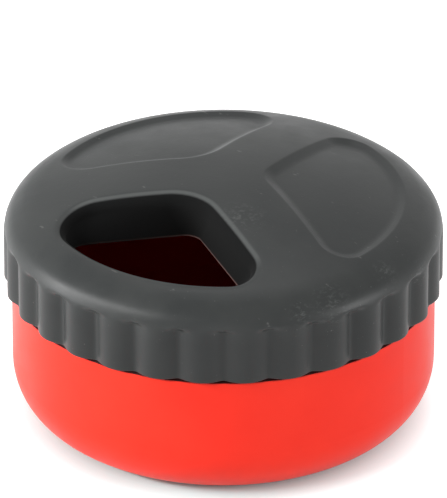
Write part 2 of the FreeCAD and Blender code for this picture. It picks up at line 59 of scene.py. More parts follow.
# The cap's outside. The skirt's lower edge is rounded and a little lower than the solid's,
# and the crown is a little fuller
CAP_RADIUS = 52.0
CAP_TOP = 62.0
DOME = 140.0
CROWN = 15.5
CROWN_INSET = 2.4
SHOULDER = 7.0
SKIRT_EDGE = 34.1
EDGE_ROUND = 0.35
# The cap's inside, as the solid has it
ROOF = 4.4
CEILING_FLAT = 12.0
CROWN_BORE = 44.1
SEAT_HEIGHT = 46.3
SKIRT_BORE = 47.7
KEY_COUNT = 6
KEY_SLOT_DEPTH = 1.4
KEY_SLOT_WIDTH = 3.8
# The flutes: scallops, whose valleys run out at the foot of the shoulder
FLUTE_COUNT = 30
FLUTE_TURN = math.radians(2.6)
FLUTE_DEPTH = 1.6
VALLEY_SOFTNESS = 0.7
FLUTE_END = 48.5
FLUTE_FADE = 1.7
# The sectors: an opening, whose chute narrows towards its lower end, and two dimples.
# A sector's sides are a web's half width from the middle of the webs
SECTOR_COUNT = 3
Sector = namedtuple("Sector", "half_angle radius web hub_corner left_corner right_corner")
OPENING = Sector(60, 41.3, 10.4, 12.0, 7.4, 5.2)
CHUTE_FOOT = Sector(54, 41.0, 8.1, 4.0, 6.0, 6.0)
CHUTE_FOOT_LEFT = Sector(46.5, 41.0, 6.85, 4.0, 8.0, 8.0)
CHUTE_FOOT_SHIFT = Vector((-1.1, 0))
DIMPLES = (
    Sector(60, 41.6, 8.7, 6.0, 5.0, 5.0),
    Sector(60, 41.6, 8.7, 10.0, 7.0, 7.0),
)
LIP_ROUND = 3.0
CHUTE_WALL = 3.4
CHUTE_END = 49.0
CHUTE_EDGE_ROUND = 0.4
# The chute's outside stays this near to the axis, clear of the bore
CHUTE_REACH = 43.9
DIMPLE_DEPTH = 1.2
DIMPLE_LIP = 1.3
DIMPLE_FOOT = 3.5
DIMPLE_SLOPE = math.radians(29)
# Rings of level ground beside a rounding, so that the faces beyond it shade evenly
SETTLE = (0.7, 1.5)

# How finely the cap is drawn: columns around it, and steps along each of its curves
COLUMNS = 720
CROWN_STEPS = 10
SHOULDER_STEPS = 26
SKIRT_STEPS = 16
EDGE_STEPS = 6
HUB_STEPS = 20
SIDE_STEPS = 36
CORNER_STEPS = 18
RIM_STEPS = 56
LIP_STEPS = 12
CHUTE_STEPS = 8
CHUTE_EDGE_STEPS = 4
DIMPLE_LIP_STEPS = 5
DIMPLE_FOOT_STEPS = 6
# The part of the top that is filled with triangles: its radius, the distance between its points,
# the area below which a triangle is left out, and the distance below which two points are one
TOP_RADIUS = 47.0
SCATTER = 1.6
SLIVER = 0.002
SAME_POINT = 1e-7
# What the triangulation gives back: triangles that fill its whole convex hull
HULL_TRIANGLES = 0


# The camera

def direction(azimuth, elevation):
    """The direction at an azimuth, counted from -Y towards +X, and an elevation."""
    level = math.cos(elevation)
    return Vector((math.sin(azimuth) * level, -math.cos(azimuth) * level, math.sin(elevation)))


def make_camera():
    """A camera at the photograph's angle, shifted so that the puck stands where it does there."""
    camera = bpy.data.objects.new("camera", bpy.data.cameras.new("camera"))
    bpy.context.scene.collection.objects.link(camera)
    away = direction(CAMERA_AZIMUTH, CAMERA_ELEVATION)
    camera.location = TARGET + away * CAMERA_DISTANCE
    camera.rotation_euler = away.to_track_quat("Z", "Y").to_euler()
    long_side = max(PHOTO_WIDTH, PHOTO_HEIGHT)
    camera.data.sensor_width = SENSOR
    camera.data.lens = FOCAL_PIXELS_PER_METRE * CAMERA_DISTANCE / long_side * SENSOR
    camera.data.shift_x = (PHOTO_WIDTH / 2 - TARGET_PIXEL[0]) / long_side
    camera.data.shift_y = (TARGET_PIXEL[1] - PHOTO_HEIGHT / 2) / long_side
    camera.data.clip_end = 2 * CAMERA_DISTANCE
    bpy.context.scene.camera = camera


# Curves of the cap

def steps(first, last, count):
    """Values from first to last in equal steps, with both ends."""
    return [first + (last - first) * index / count for index in range(count + 1)]


class CapProfile:
    """The cap's outer half section: dome, crown, shoulder and skirt, which run into each other."""

    def __init__(self):
        # The angle above level at which the shoulder gives way to the crown
        self.change = math.acos(1 - CROWN_INSET / SHOULDER)
        self.shoulder_x = CAP_RADIUS - SHOULDER
        self.crown_x = self.shoulder_x - (CROWN - SHOULDER) * math.cos(self.change)
        self.dome_z = CAP_TOP - DOME
        self.crown_z = self.dome_z + math.sqrt((DOME - CROWN) ** 2 - self.crown_x**2)
        self.shoulder_z = self.crown_z + (CROWN - SHOULDER) * math.sin(self.change)
        self.dome_end = DOME * self.crown_x / (DOME - CROWN)

    def height(self, radius):
        """Height of the dome or the crown at a distance from the axis."""
        if radius < self.dome_end:
            return self.dome_z + math.sqrt(DOME**2 - radius**2)
        return self.crown_z + math.sqrt(CROWN**2 - (radius - self.crown_x) ** 2)

    def side(self):
        """Points (radius, height) from the crown down the skirt and around its lower edge."""

        def arc_points(x, z, radius, angles):
            return [(x + radius * math.cos(angle), z + radius * math.sin(angle)) for angle in angles]

        crown_start = math.acos((TOP_RADIUS - self.crown_x) / CROWN)
        crown_angles = steps(crown_start, self.change, CROWN_STEPS)
        shoulder_angles = steps(self.change, 0, SHOULDER_STEPS)
        crown = arc_points(self.crown_x, self.crown_z, CROWN, crown_angles)
        shoulder = arc_points(self.shoulder_x, self.shoulder_z, SHOULDER, shoulder_angles)
        skirt = [(CAP_RADIUS, height)
                 for height in steps(self.shoulder_z, SKIRT_EDGE + EDGE_ROUND, SKIRT_STEPS)]
        edge = [(CAP_RADIUS - EDGE_ROUND * (1 - math.cos(angle)),
                 SKIRT_EDGE + EDGE_ROUND * (1 - math.sin(angle)))
                for angle in steps(0, QUARTER_TURN, EDGE_STEPS)]
        return crown + shoulder[1:] + skirt[1:] + edge[1:]


profile = CapProfile()


def below_top(drop):
    """A surface that stays a little below the dome and the crown, as its height at each distance."""
    return lambda radius: profile.height(radius) - drop


def ceiling_height(radius):
    """The underside of the roof: flat in the middle, and a cone down to the neck's bore."""
    middle = CAP_TOP - ROOF
    rim = profile.dome_z + math.sqrt((DOME - ROOF) ** 2 - CROWN_BORE**2)
    share = max(radius - CEILING_FLAT, 0) / (CROWN_BORE - CEILING_FLAT)
    return middle + (rim - middle) * share


def off_middle(angle, turn, count):
    """The angle to the nearest of some directions, which are spaced evenly from a turn onwards."""
    pitch = 2 * math.pi / count
    return abs((angle - turn + pitch / 2) % pitch - pitch / 2)


def flute_cut(angle, height):
    """How deep the skirt is scalloped in a direction and at a height."""

    def softened(distance):
        return math.hypot(distance, VALLEY_SOFTNESS) - VALLEY_SOFTNESS

    off = off_middle(angle, FLUTE_TURN, FLUTE_COUNT) * CAP_RADIUS
    share = softened(off) / softened(math.pi / FLUTE_COUNT * CAP_RADIUS)
    left = min(max((FLUTE_END - height) / FLUTE_FADE, 0), 1)
    return FLUTE_DEPTH * (1 - share) ** 2 * left**2 * (3 - 2 * left)


def bore_radius(angle):
    """The skirt's inside, with a slot for each key of the ring."""
    off = off_middle(angle, QUARTER_TURN + FLUTE_TURN, KEY_COUNT) * SKIRT_BORE
    return SKIRT_BORE + (KEY_SLOT_DEPTH if off < KEY_SLOT_WIDTH / 2 else 0)


def arc(centre, radius, first, last, count):
    """Pairs of a point on an arc and its direction from the centre."""
    directions = [Vector((math.cos(angle), math.sin(angle))) for angle in steps(first, last, count)]
    return [(centre + out * radius, out) for out in directions]


def half_outline(sector, corner):
    """The half of a sector's outline towards +X, from its corner at the hub to the middle of its rim."""
    half = math.radians(sector.half_angle)
    web = Vector((math.sin(half), -math.cos(half)))
    inward = Vector((-math.cos(half), -math.sin(half)))
    hub = Vector((0, -(sector.web + sector.hub_corner) / math.sin(half)))
    reach = sector.web + corner
    rim = web * math.sqrt((sector.radius - corner) ** 2 - reach**2) + inward * reach
    side_angle = math.atan2(-inward.y, -inward.x)
    rim_angle = math.atan2(rim.y, rim.x)
    hub_arc = arc(hub, sector.hub_corner, QUARTER_TURN, side_angle, HUB_STEPS)
    corner_arc = arc(rim, corner, side_angle, rim_angle, CORNER_STEPS)
    rim_arc = arc(Vector((0, 0)), sector.radius, rim_angle, -QUARTER_TURN, RIM_STEPS)
    first, last = hub_arc[-1][0], corner_arc[0][0]
    side = [(first.lerp(last, share), -inward) for share in steps(0, 1, SIDE_STEPS)[1:-1]]
    return hub_arc + side + corner_arc + rim_arc[1:]


def sector_outline(sector, turn=0, left_sector=None):
    """A sector's outline as pairs of a point and its outward direction.

    turn is its angle from the opening. Its left half may follow another sector.
    """
    right = half_outline(sector, sector.right_corner)
    left = [(Vector((-point.x, point.y)), Vector((-out.x, out.y)))
            for point, out in half_outline(left_sector or sector, sector.left_corner)]
    turning = Matrix.Rotation(turn, 2)
    return [(turning @ point, turning @ out) for point, out in right + left[-2:0:-1]]


# The cap as one mesh

def is_within(point, ring):
    """Whether a point of the plane is inside a closed ring of points."""
    x, y = (ring - np.array(point)).T
    next_x, next_y = np.roll(x, -1), np.roll(y, -1)
    crossing = (y > 0) != (next_y > 0)
    x, y, next_x, next_y = x[crossing], y[crossing], next_x[crossing], next_y[crossing]
    return np.count_nonzero(x - y * (next_x - x) / (next_y - y) > 0) % 2 == 1


def scattered(outline, holes):
    """Points of a pattern of equal triangles, inside an outline and clear of it and of its holes."""
    reach = np.abs(outline).max()
    points = []
    for row, y in enumerate(np.arange(-reach, reach, SCATTER * math.sqrt(0.75))):
        for x in np.arange(-reach, reach, SCATTER) + row % 2 * SCATTER / 2:
            apart = min(np.hypot(*(ring - (x, y)).T).min() for ring in [outline] + holes)
            if apart > SCATTER / 2 and is_within((x, y), outline):
                if not any(is_within((x, y), hole) for hole in holes):
                    points.append((x, y))
    return points


class CapMesh:
    """Rings of points, strips of faces between them, and filled regions."""

    def __init__(self):
        self.points = []
        self.faces = []

    def ring(self, points):
        """Add points (x, y, z) and return their numbers."""
        start = len(self.points)
        self.points += points
        return list(range(start, len(self.points)))

    def around(self, radius_at, height):
        """A ring around the axis; radius_at gives its radius in each direction."""
        angles = [2 * math.pi * column / COLUMNS for column in range(COLUMNS)]
        return self.ring([(radius_at(angle) * math.cos(angle), radius_at(angle) * math.sin(angle), height)
                          for angle in angles])

    def offset(self, outline, distance, height_of, reach=CAP_RADIUS):
        """A ring along an outline, moved outwards by a distance but kept within a reach of the axis."""
        moved = [point + out * distance for point, out in outline]
        kept = [point * min(reach / point.length, 1) for point in moved]
        return self.ring([(point.x, point.y, height_of(point.length)) for point in kept])

    def between(self, upper, outline, height, share):
        """A ring part of the way from one to an outline at a height."""
        made = []
        for number, (point, _) in zip(upper, outline):
            start = Vector(self.points[number])
            made.append(tuple(start.lerp(Vector((point.x, point.y, height)), share)))
        return self.ring(made)

    def strips(self, rings):
        """Faces between rings of as many points."""
        for upper, lower in zip(rings, rings[1:]):
            for index in range(len(upper)):
                following = (index + 1) % len(upper)
                self.faces.append((upper[index], lower[index], lower[following], upper[following]))

    def fill(self, outline, holes, height_of, faces_down=False):
        """Triangles between an outline and its holes, with points between them on a surface."""
        rings = [outline] + holes
        flat = [np.array([self.points[number][:2] for number in ring]) for ring in rings]
        inner = self.ring([(x, y, height_of(math.hypot(x, y))) for x, y in scattered(flat[0], flat[1:])])
        numbers = sum(rings, []) + inner
        plane = [Vector(self.points[number][:2]) for number in numbers]
        edges = []
        for ring in rings:
            start = len(edges)
            edges += [(start + index, start + (index + 1) % len(ring)) for index in range(len(ring))]
        # The hole that each point is on, counted from 1, or 0 where it is on none
        hole_of = [place for place, ring in enumerate(rings) for _ in ring] + [0] * len(inner)
        _, _, triangles, origins, _, _ = geometry.delaunay_2d_cdt(
            plane, edges, [], HULL_TRIANGLES, SAME_POINT)
        for triangle in triangles:
            corners = [origins[corner][0] for corner in triangle]
            touched = {hole_of[corner] for corner in corners}
            in_hole = len(touched) == 1 and 0 not in touched
            is_sliver = abs(geometry.area_tri(*(plane[corner].to_3d() for corner in corners))) < SLIVER
            if not in_hole and not is_sliver:
                face = [numbers[corner] for corner in corners]
                self.faces.append(face[::-1] if faces_down else face)

    def to_object(self, name):
        """Make a smooth piece of the points and faces, in metres."""
        mesh = bpy.data.meshes.new(name)
        mesh.from_pydata([tuple(value * MM for value in point) for point in self.points], [], self.faces)
        mesh.polygons.foreach_set("use_smooth", [True] * len(mesh.polygons))
        mesh.update()
        made = bpy.data.objects.new(name, mesh)
        bpy.context.scene.collection.objects.link(made)
        return made


def add_walls(mesh):
    """The side from the crown to the skirt's edge, and the inside up to the roof. Returns both end rings."""

    def scalloped(radius, height):
        return mesh.around(lambda angle: radius - flute_cut(angle, height), height)

    side = [scalloped(radius, height) for radius, height in profile.side()]
    inside = [
        mesh.around(bore_radius, SKIRT_EDGE),
        mesh.around(bore_radius, SEAT_HEIGHT),
        mesh.around(lambda angle: CROWN_BORE, SEAT_HEIGHT),
        mesh.around(lambda angle: CROWN_BORE, ceiling_height(CROWN_BORE)),
    ]
    mesh.strips(side + inside)
    return side[0], inside[-1]


def add_chute(mesh):
    """The opening's lip, and its chute down to the lower edge and up outside. Returns both end rings."""
    opening = sector_outline(OPENING)
    foot = [(point + CHUTE_FOOT_SHIFT, out)
            for point, out in sector_outline(CHUTE_FOOT, left_sector=CHUTE_FOOT_LEFT)]
    rings = []
    for angle in steps(0, QUARTER_TURN, LIP_STEPS):
        distance = LIP_ROUND * (1 - math.sin(angle))
        drop = LIP_ROUND * (1 - math.cos(angle))
        rings.append(mesh.offset(opening, distance, below_top(drop)))
    lip_end = rings[-1]
    for share in steps(0, 1, CHUTE_STEPS)[1:]:
        rings.append(mesh.between(lip_end, foot, CHUTE_END + CHUTE_EDGE_ROUND, share))
    for angle in steps(0, QUARTER_TURN, CHUTE_EDGE_STEPS)[1:]:
        inset = CHUTE_EDGE_ROUND * (1 - math.cos(angle))
        rise = CHUTE_EDGE_ROUND * (1 - math.sin(angle))
        rings.append(mesh.offset(foot, inset, lambda radius: CHUTE_END + rise))
    rings.append(mesh.offset(opening, CHUTE_WALL, lambda radius: CHUTE_END, CHUTE_REACH))
    rings.append(mesh.offset(opening, CHUTE_WALL, ceiling_height, CHUTE_REACH))
    mesh.strips(rings)
    return rings[0], rings[-1]


def add_level_ground(mesh, lip):
    """Level ground around the opening's lip. Returns its outermost ring."""
    opening = sector_outline(OPENING)
    rings = [mesh.offset(opening, LIP_ROUND + apart, below_top(0)) for apart in SETTLE[::-1]]
    mesh.strips(rings + [lip])
    return rings[0]


def dimple_bank():
    """Pairs of a distance outwards from a dimple's outline and a drop below the top, from outside inwards.

    The outline runs along the middle of the bank: a rounded lip, a slope and a rounded foot.
    """
    sine, cosine = math.sin(DIMPLE_SLOPE), math.cos(DIMPLE_SLOPE)
    slope_drop = DIMPLE_DEPTH - (DIMPLE_LIP + DIMPLE_FOOT) * (1 - cosine)
    half_width = ((DIMPLE_LIP + DIMPLE_FOOT) * sine + slope_drop * cosine / sine) / 2
    ground = [(half_width + apart, 0) for apart in SETTLE[::-1]]
    lip = [(half_width - DIMPLE_LIP * math.sin(angle), DIMPLE_LIP * (1 - math.cos(angle)))
           for angle in steps(0, DIMPLE_SLOPE, DIMPLE_LIP_STEPS)]
    foot = [(DIMPLE_FOOT * math.sin(angle) - half_width, DIMPLE_DEPTH - DIMPLE_FOOT * (1 - math.cos(angle)))
            for angle in steps(DIMPLE_SLOPE, 0, DIMPLE_FOOT_STEPS)]
    floor = [(-half_width - apart, DIMPLE_DEPTH) for apart in SETTLE]
    return ground + lip + foot + floor


def add_dimple(mesh, dimple, turn):
    """A shallow sector with a floor that follows the dome. Returns its outermost ring."""
    outline = sector_outline(dimple, turn)
    rings = [mesh.offset(outline, distance, below_top(drop)) for distance, drop in dimple_bank()]
    mesh.strips(rings)
    mesh.fill(rings[-1], [], below_top(DIMPLE_DEPTH))
    return rings[0]


def make_cap():
    """The rubber cap, with flutes, lip and dimples that are softer than the solid has them."""
    mesh = CapMesh()
    top_rim, roof_rim = add_walls(mesh)
    lip, chute_rim = add_chute(mesh)
    mesh.fill(roof_rim, [chute_rim], ceiling_height, faces_down=True)
    sector_rims = [add_level_ground(mesh, lip)]
    for index, dimple in enumerate(DIMPLES, start=1):
        sector_rims.append(add_dimple(mesh, dimple, index * 2 * math.pi / SECTOR_COUNT))
    mesh.fill(top_rim, sector_rims, profile.height)
    return mesh.to_object("soft_cap")


# Nodes of the materials

# A pattern of noise: its features in each metre, its detail and roughness, and its scale along the axes
Grain = namedtuple("Grain", "per_metre detail roughness stretch", defaults=(0.55, (1, 1, 1)))
# A bump of that pattern: its depth in millimetres and its strength
Bump = namedtuple("Bump", "grain depth strength")
# What a range of values is mapped onto: from none to all, or from all to none
RISE, FALL = (0, 1), (1, 0)
# The range that holds most of a noise's values
NOISE_MIDDLE = (0.3, 0.7)


def new_material(name, shader_values):
    """A Principled material, whose socket values are given by name. Returns it, its nodes and its shader."""
    material = bpy.data.materials.new(name)
    material.use_nodes = True
    shader = material.node_tree.nodes["Principled BSDF"]
    for socket, value in shader_values.items():
        shader.inputs[socket].default_value = value
    return material, material.node_tree, shader


def add_noise(tree, grain):
    """Noise in the object's own space."""
    place = tree.nodes.new("ShaderNodeTexCoord")
    mapping = tree.nodes.new("ShaderNodeMapping")
    mapping.inputs["Scale"].default_value = grain.stretch
    noise = tree.nodes.new("ShaderNodeTexNoise")
    noise.inputs["Scale"].default_value = grain.per_metre
    noise.inputs["Detail"].default_value = grain.detail
    noise.inputs["Roughness"].default_value = grain.roughness
    tree.links.new(place.outputs["Object"], mapping.inputs["Vector"])
    tree.links.new(mapping.outputs["Vector"], noise.inputs["Vector"])
    return noise.outputs["Fac"]


def add_ramp(tree, value, span, colours):
    """Map a value within a span onto two colours and what lies between them."""
    ramp = tree.nodes.new("ShaderNodeValToRGB")
    for stop, position, colour in zip(ramp.color_ramp.elements, span, colours):
        stop.position = position
        stop.color = (*colour, 1)
    tree.links.new(value, ramp.inputs["Fac"])
    return ramp.outputs["Color"]


def add_range(tree, value, span, results=RISE):
    """Map a value within a span onto a number between two results."""
    node = tree.nodes.new("ShaderNodeMapRange")
    for socket, number in zip(("From Min", "From Max", "To Min", "To Max"), (*span, *results)):
        node.inputs[socket].default_value = number
    tree.links.new(value, node.inputs["Value"])
    return node.outputs["Result"]


def add_maths(tree, operation, *values):
    """A sum, product or other calculation with sockets or numbers."""
    node = tree.nodes.new("ShaderNodeMath")
    node.operation = operation
    for place, value in zip(node.inputs, values):
        if isinstance(value, (int, float)):
            place.default_value = value
        else:
            tree.links.new(value, place)
    return node.outputs["Value"]


def add_product(tree, *factors):
    """The product of two or more values."""
    result = factors[0]
    for factor in factors[1:]:
        result = add_maths(tree, "MULTIPLY", result, factor)
    return result


def add_mix(tree, share, first, second):
    """Mix two colours by a share."""
    blend = tree.nodes.new("ShaderNodeMix")
    blend.data_type = "RGBA"
    tree.links.new(share, blend.inputs["Factor"])
    for socket, colour in ((blend.inputs["A"], first), (blend.inputs["B"], second)):
        if isinstance(colour, tuple):
            socket.default_value = (*colour, 1)
        else:
            tree.links.new(colour, socket)
    return blend.outputs["Result"]


def add_layers(tree, colour, layers):
    """Lay colours over a first one, each by its own share."""
    for share, layer_colour in layers:
        colour = add_mix(tree, share, colour, layer_colour)
    return colour


def add_bumps(tree, shader, bumps):
    """Bumps of noise, one on the other."""
    normal = None
    for grain, depth, strength in bumps:
        bump = tree.nodes.new("ShaderNodeBump")
        bump.inputs["Distance"].default_value = depth * MM
        bump.inputs["Strength"].default_value = strength
        tree.links.new(add_noise(tree, grain), bump.inputs["Height"])
        if normal:
            tree.links.new(normal, bump.inputs["Normal"])
        normal = bump.outputs["Normal"]
    tree.links.new(normal, shader.inputs["Normal"])


def add_sheen(tree, grain, roughness):
    """Roughness that varies between two values."""
    return add_range(tree, add_noise(tree, grain), NOISE_MIDDLE, roughness)


def add_place(tree):
    """Where a point is, in millimetres: its x, y, height and distance from the axis."""
    place = tree.nodes.new("ShaderNodeTexCoord")
    scaled = tree.nodes.new("ShaderNodeVectorMath")
    scaled.operation = "SCALE"
    scaled.inputs["Scale"].default_value = 1 / MM
    tree.links.new(place.outputs["Object"], scaled.inputs[0])
    split = tree.nodes.new("ShaderNodeSeparateXYZ")
    tree.links.new(scaled.outputs["Vector"], split.inputs["Vector"])
    flat = tree.nodes.new("ShaderNodeCombineXYZ")
    tree.links.new(split.outputs["X"], flat.inputs["X"])
    tree.links.new(split.outputs["Y"], flat.inputs["Y"])
    length = tree.nodes.new("ShaderNodeVectorMath")
    length.operation = "LENGTH"
    tree.links.new(flat.outputs["Vector"], length.inputs[0])
    return split.outputs["X"], split.outputs["Y"], split.outputs["Z"], length.outputs["Value"]


def add_depth(tree, height, reach):
    """How far below the dome a point is."""
    squared = add_maths(tree, "POWER", reach, 2)
    rise = add_maths(tree, "SQRT", add_maths(tree, "SUBTRACT", DOME**2, squared))
    dome_height = add_maths(tree, "ADD", rise, profile.dome_z)
    return add_maths(tree, "SUBTRACT", dome_height, height)


def add_patches(tree, places):
    """1 at some places on the cap and 0 away from them; each is a point and a radius in millimetres."""
    coordinates = tree.nodes.new("ShaderNodeTexCoord").outputs["Object"]
    result = 0.0
    for point, radius in places:
        apart = tree.nodes.new("ShaderNodeVectorMath")
        apart.operation = "DISTANCE"
        tree.links.new(coordinates, apart.inputs[0])
        apart.inputs[1].default_value = Vector(point) * MM
        patch = add_range(tree, apart.outputs["Value"], (radius * MM, 0))
        result = add_maths(tree, "MAXIMUM", result, patch)
    return result


# The rubber. Each colour after the first two is laid over the ones before it

RUBBER_SPECULAR = 0.23
RUBBER_ROUGHNESS = (0.34, 0.44)
RUBBER_SHEEN = Grain(120, 5)
RUBBER_BUMPS = (Bump(Grain(220, 4), 0.2, 0.2), Bump(Grain(2200, 3), 0.05, 0.4))
MOTTLE_COLOURS = (0.026, 0.0285, 0.0285), (0.0375, 0.040, 0.039)
MOTTLE_GRAIN = Grain(60, 6)
MOTTLE_SPAN = (0.35, 0.7)
# Painted shade: the skirt is painted darker, and gives way to the shoulder over a span of heights
SKIRT_SHADE_COLOUR = (0.011, 0.0125, 0.0125)
SKIRT_SHADE_SHARE = 0.45
SKIRT_SHADE_SPAN = (44, 50)
# Specks of dust and longer scuffs, where a noise is high
DUST_COLOUR = (0.13, 0.13, 0.125)
DUST_SHARE = 0.5
DUST_GRAIN = Grain(1500, 2)
DUST_SPAN = (0.72, 0.78)
SCUFF_COLOUR = (0.14, 0.14, 0.135)
SCUFF_SHARE = 0.5
SCUFF_GRAIN = Grain(500, 3, stretch=(0.4, 1, 1))
SCUFF_SPAN = (0.71, 0.75)
# Where the rubber is rubbed: on the shoulder, and on the web beside the opening
RUBBED_COLOUR = (0.11, 0.116, 0.112)
RUBBED_SHARE = 0.75
RUBBED_GRAIN = Grain(1300, 5, 0.65, (0.6, 0.6, 1.3))
RUBBED_SPAN = (0.5, 0.7)
RUBBED_PLACES = (
    ((44.6, -23.0, 50.5), 6.0),
    ((40.5, -30.0, 50.5), 3.5),
    ((48.3, -5.9, 52.2), 4.0),
    ((51.3, 5.0, 47.5), 4.0),
    ((14.0, -14.0, 60.5), 7.0),
)
# The opening's lip is pale between two depths below the dome, but not at its rim
LIP_COLOUR = (0.09, 0.095, 0.093)
LIP_SHARE = 0.7
LIP_START = (0.02, 0.12)
LIP_END = (0.3, 0.55)
LIP_REACH = (34, 38)
# Its chute has painted shade, near black, and is dull below a depth, up to a distance from the axis
CHUTE_SHADE_COLOUR = (0.002, 0.0022, 0.0022)
CHUTE_SHADE_START = (0.35, 0.6)
CHUTE_SHADE_LIMIT = (43.5, 44.5)
# A painted highlight: a thin reddish line on the chute's lower edge, brighter towards +X
EDGE_HIGHLIGHT_COLOUR = (0.16, 0.095, 0.085)
EDGE_HIGHLIGHT_BOTTOM = (CHUTE_END - 0.2, CHUTE_END)
EDGE_HIGHLIGHT_TOP = (CHUTE_END + 0.4, CHUTE_END + 0.7)
EDGE_HIGHLIGHT_REACH = (42, 43)
EDGE_HIGHLIGHT_SPAN = (-12, 2)
EDGE_HIGHLIGHT_SHARES = (0.15, 0.9)
# How far the opening's sector fades out at the middle of the webs beside it
SECTOR_FADE = (-1, 0)


def add_opening_share(tree, x, y):
    """1 in the opening's sector, up to the middle of the webs beside it, and 0 beyond."""
    aside = add_maths(tree, "ABSOLUTE", x)
    past_web = add_maths(tree, "MULTIPLY", aside, 1 / math.tan(math.radians(OPENING.half_angle)))
    return add_range(tree, add_maths(tree, "ADD", y, past_web), SECTOR_FADE, FALL)


def rubber_material():
    """Dark grey moulded rubber: mottled, grained, dusty and rubbed, with a pale lip, painted shade on the
    skirt and in the chute, and a painted highlight on the chute's lower edge.
    """
    material, tree, shader = new_material("cap_rubber", {"Specular IOR Level": RUBBER_SPECULAR})
    x, y, height, reach = add_place(tree)
    depth = add_depth(tree, height, reach)
    opening = add_opening_share(tree, x, y)
    mottle = add_ramp(tree, add_noise(tree, MOTTLE_GRAIN), MOTTLE_SPAN, MOTTLE_COLOURS)
    # Painted shade: the skirt darker below the shoulder
    skirt = add_range(tree, height, SKIRT_SHADE_SPAN, (SKIRT_SHADE_SHARE, 0))
    dust = add_range(tree, add_noise(tree, DUST_GRAIN), DUST_SPAN, (0, DUST_SHARE))
    scuffs = add_range(tree, add_noise(tree, SCUFF_GRAIN), SCUFF_SPAN, (0, SCUFF_SHARE))
    rubbed = add_product(tree, add_patches(tree, RUBBED_PLACES),
                         add_range(tree, add_noise(tree, RUBBED_GRAIN), RUBBED_SPAN, (0, RUBBED_SHARE)))
    lip = add_product(tree, opening, add_range(tree, depth, LIP_START, (0, LIP_SHARE)),
                      add_range(tree, depth, LIP_END, FALL), add_range(tree, reach, LIP_REACH, FALL))
    # Painted shade in the chute; the same share also makes it dull
    chute = add_product(tree, opening, add_range(tree, depth, CHUTE_SHADE_START),
                        add_range(tree, reach, CHUTE_SHADE_LIMIT, FALL))
    # Painted highlight along the chute's lower edge
    edge_highlight = add_product(tree, add_range(tree, height, EDGE_HIGHLIGHT_BOTTOM), add_range(tree, height, EDGE_HIGHLIGHT_TOP, FALL),
                        add_range(tree, reach, EDGE_HIGHLIGHT_REACH, FALL),
                        add_range(tree, x, EDGE_HIGHLIGHT_SPAN, EDGE_HIGHLIGHT_SHARES))
    colour = add_layers(tree, mottle, (
        (skirt, SKIRT_SHADE_COLOUR),
        (dust, DUST_COLOUR),
        (scuffs, SCUFF_COLOUR),
        (rubbed, RUBBED_COLOUR),
        (lip, LIP_COLOUR),
        (chute, CHUTE_SHADE_COLOUR),
        (edge_highlight, EDGE_HIGHLIGHT_COLOUR),
    ))
    tree.links.new(colour, shader.inputs["Base Color"])
    sheen = add_sheen(tree, RUBBER_SHEEN, RUBBER_ROUGHNESS)
    tree.links.new(add_maths(tree, "MAXIMUM", sheen, chute), shader.inputs["Roughness"])
    add_bumps(tree, shader, RUBBER_BUMPS)
    return material


# The cup's plastic

CUP_SPECULAR = 0.14
CUP_ROUGHNESS = (0.34, 0.44)
CUP_SHEEN = Grain(90, 4)
CUP_BUMPS = (Bump(Grain(130, 3), 0.1, 0.2), Bump(Grain(1800, 2), 0.03, 0.35))
CUP_COLOURS = (0.87, 0.027, 0.013), (0.92, 0.036, 0.018)
CUP_GRAIN = Grain(45, 4)
# The cup, as the solid has it
CUP_RADIUS = 50.2
BASE_ROUND = 13.8
LEDGE = 34.0
NECK_RADIUS = 43.8
# Its inside has painted shade, a deeper red for the less light it gets. It is told by its distance from the
# middle of the base's rounding, and it ends below the ledge
INSIDE_SHADE_COLOUR = (0.42, 0.012, 0.006)
INSIDE_SHADE_SPAN = (BASE_ROUND - 1.7, BASE_ROUND - 1.1)
INSIDE_SHADE_TOP = (LEDGE - 0.5, LEDGE)
# The ledge gets painted shade, near black, where the skirt is this near
GAP_SHADE_COLOUR = (0.02, 0.002, 0.002)
GAP_REACH = 1.25
GAP_OPENNESS = (0.88, 0.97)
GAP_HEIGHTS = (LEDGE - 2, LEDGE - 1.5)
GAP_START = (NECK_RADIUS - 0.2, NECK_RADIUS + 0.2)


def cup_material():
    """Satin red plastic with a faint pebble, with painted shade inside and on its ledge where the skirt is
    near.
    """
    material, tree, shader = new_material("cup_plastic", {"Specular IOR Level": CUP_SPECULAR})
    red = add_ramp(tree, add_noise(tree, CUP_GRAIN), NOISE_MIDDLE, CUP_COLOURS)
    _, _, height, reach = add_place(tree)
    out = add_maths(tree, "MAXIMUM", add_maths(tree, "SUBTRACT", reach, CUP_RADIUS - BASE_ROUND), 0)
    down = add_maths(tree, "MAXIMUM", add_maths(tree, "SUBTRACT", BASE_ROUND, height), 0)
    squares = [add_maths(tree, "POWER", side, 2) for side in (out, down)]
    from_round = add_maths(tree, "SQRT", add_maths(tree, "ADD", *squares))
    # Painted shade inside the cup
    inside = add_product(tree, add_range(tree, from_round, INSIDE_SHADE_SPAN, FALL),
                         add_range(tree, height, INSIDE_SHADE_TOP, FALL))
    # Painted shade on the ledge, where ambient occlusion finds the skirt near
    near = tree.nodes.new("ShaderNodeAmbientOcclusion")
    near.inputs["Distance"].default_value = GAP_REACH * MM
    gap_shade = add_product(tree, add_range(tree, near.outputs["AO"], GAP_OPENNESS, FALL),
                      add_range(tree, height, GAP_HEIGHTS), add_range(tree, reach, GAP_START))
    colour = add_layers(tree, red, ((inside, INSIDE_SHADE_COLOUR), (gap_shade, GAP_SHADE_COLOUR)))
    tree.links.new(colour, shader.inputs["Base Color"])
    tree.links.new(add_sheen(tree, CUP_SHEEN, CUP_ROUGHNESS), shader.inputs["Roughness"])
    add_bumps(tree, shader, CUP_BUMPS)
    return material


# The ring's nylon

